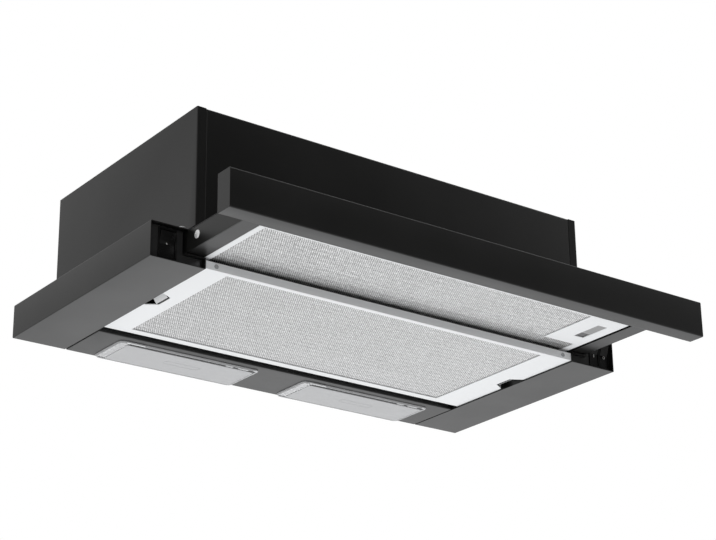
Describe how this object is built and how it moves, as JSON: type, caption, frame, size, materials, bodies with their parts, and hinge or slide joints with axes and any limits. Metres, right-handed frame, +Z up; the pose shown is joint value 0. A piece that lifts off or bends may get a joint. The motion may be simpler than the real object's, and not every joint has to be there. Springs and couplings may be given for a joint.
{
  "type": "pull-out range hood",
  "caption": "Slim pull-out range hood: upper box with blower and duct collar, side wings, lamp strip, swing-down grease filter, and a sliding visor with its own filter.",
  "frame": {"origin": "centre of the four fixing holes, on the plane where the wing tops meet the underside of the wall unit", "axes": "+X along the hood from its lamp-switch end to its fan-switch end, +Y towards the wall, +Z up into the wall unit"},
  "size_m": [0.6, 0.4177, 0.209],
  "materials": {
    "black_steel": "satin black powder coat on folded steel sheet",
    "galvanised": "zinc-plated steel",
    "zinc_screw": "bright zinc",
    "gloss_black": "glossy black moulding",
    "switch_black": "fine-grained black moulding",
    "clear_lens": "clear moulded plastic with fine ribs",
    "reflector": "bright folded sheet",
    "bulb_glass": "frosted glass",
    "ivory_plastic": "ivory moulding",
    "grey_plastic": "dark grey moulding",
    "nylon": "natural nylon",
    "filter_white": "satin white coat",
    "filter_mesh": "expanded aluminium",
    "filter_pad": "layers of fine expanded aluminium",
    "latch_grey": "grey moulding",
    "damper_sheet": "thin sheet"
  },
  "bodies": {
    "body": {"top_panel": "black_steel", "front_panel": "black_steel", "side_panel_left": "black_steel", "side_panel_right": "black_steel", "back_panel": "black_steel", "wing_left": "black_steel", "wing_right": "black_steel", "fascia_left": "gloss_black", "fascia_right": "gloss_black", "lamp_strip": "black_steel", "guide_rail_left": "galvanised", "guide_rail_right": "galvanised", "lamp_lens_left": "clear_lens", "lamp_lens_right": "clear_lens", "lamp_reflector_left": "reflector", "lamp_reflector_right": "reflector", "lamp_bulb_left": "bulb_glass", "lamp_bulb_right": "bulb_glass", "lamp_socket_left": "ivory_plastic", "lamp_socket_right": "ivory_plastic", "lamp_switch_body": "switch_black", "power_switch_body": "switch_black", "speed_switch_body": "switch_black", "blower_housing_left": "grey_plastic", "blower_housing_right": "grey_plastic", "motor": "galvanised", "motor_bracket": "galvanised", "duct_collar": "grey_plastic", "damper_pin": "galvanised", "cable_gland": "switch_black", "terminal_box": "ivory_plastic", "terminal_box_lid": "ivory_plastic", "capacitor": "ivory_plastic", "body_screws": "zinc_screw"},
    "blower": {"blower_wheel": "galvanised", "motor_shaft": "galvanised"},
    "damper_front": {"damper_flap_front": "damper_sheet"},
    "damper_rear": {"damper_flap_rear": "damper_sheet"},
    "lamp_rocker": {"lamp_rocker": "switch_black"},
    "power_rocker": {"power_rocker": "switch_black"},
    "speed_rocker": {"speed_rocker": "switch_black"},
    "visor": {"visor_bar": "black_steel", "visor_tray": "black_steel", "visor_arm_left": "black_steel", "visor_arm_right": "black_steel", "visor_cover": "black_steel", "visor_screws": "zinc_screw", "visor_runner_left": "nylon", "visor_runner_right": "nylon", "visor_filter_frame": "filter_white", "visor_filter_mesh": "filter_mesh", "visor_filter_pad": "filter_pad"},
    "visor_latch": {"visor_latch": "latch_grey"},
    "main_filter": {"main_filter_frame": "filter_white", "main_filter_mesh": "filter_mesh", "main_filter_pad": "filter_pad", "filter_rivets": "zinc_screw", "filter_catches": "galvanised"}
  },
  "joints": [
    {"name": "visor_slide", "type": "slide", "parent": "body", "child": "visor", "axis": [0, -1, 0], "range_m": [-0.117, 0.023]},
    {"name": "latch_slide", "type": "slide", "parent": "visor", "child": "visor_latch", "axis": [0, 1, 0], "range_m": [0, 0.006], "stiffness_N_per_m": 300, "springref_m": -0.003},
    {"name": "filter_swing", "type": "hinge", "parent": "body", "child": "main_filter", "pos_m": [0, 0.054, -0.03], "axis": [1, 0, 0], "range_deg": [0, 75]},
    {"name": "blower_spin", "type": "hinge", "parent": "body", "child": "blower", "pos_m": [0, 0.01925, 0.062], "axis": [1, 0, 0], "continuous": true},
    {"name": "damper_front_swing", "type": "hinge", "parent": "body", "child": "damper_front", "pos_m": [0, 0, 0.1469], "axis": [-1, 0, 0], "range_deg": [0, 75]},
    {"name": "damper_rear_swing", "type": "hinge", "parent": "body", "child": "damper_rear", "pos_m": [0, 0, 0.1469], "axis": [1, 0, 0], "range_deg": [0, 75]},
    {"name": "lamp_rock", "type": "hinge", "parent": "body", "child": "lamp_rocker", "pos_m": [-0.2787, -0.13, -0.0185], "axis": [-1, 0, 0], "range_deg": [0, 16]},
    {"name": "power_rock", "type": "hinge", "parent": "body", "child": "power_rocker", "pos_m": [0.2904, -0.13, -0.0185], "axis": [-1, 0, 0], "range_deg": [0, 16]},
    {"name": "speed_rock", "type": "hinge", "parent": "body", "child": "speed_rocker", "pos_m": [0.2754, -0.13, -0.0185], "axis": [-1, 0, 0], "range_deg": [0, 16]}
  ]
}
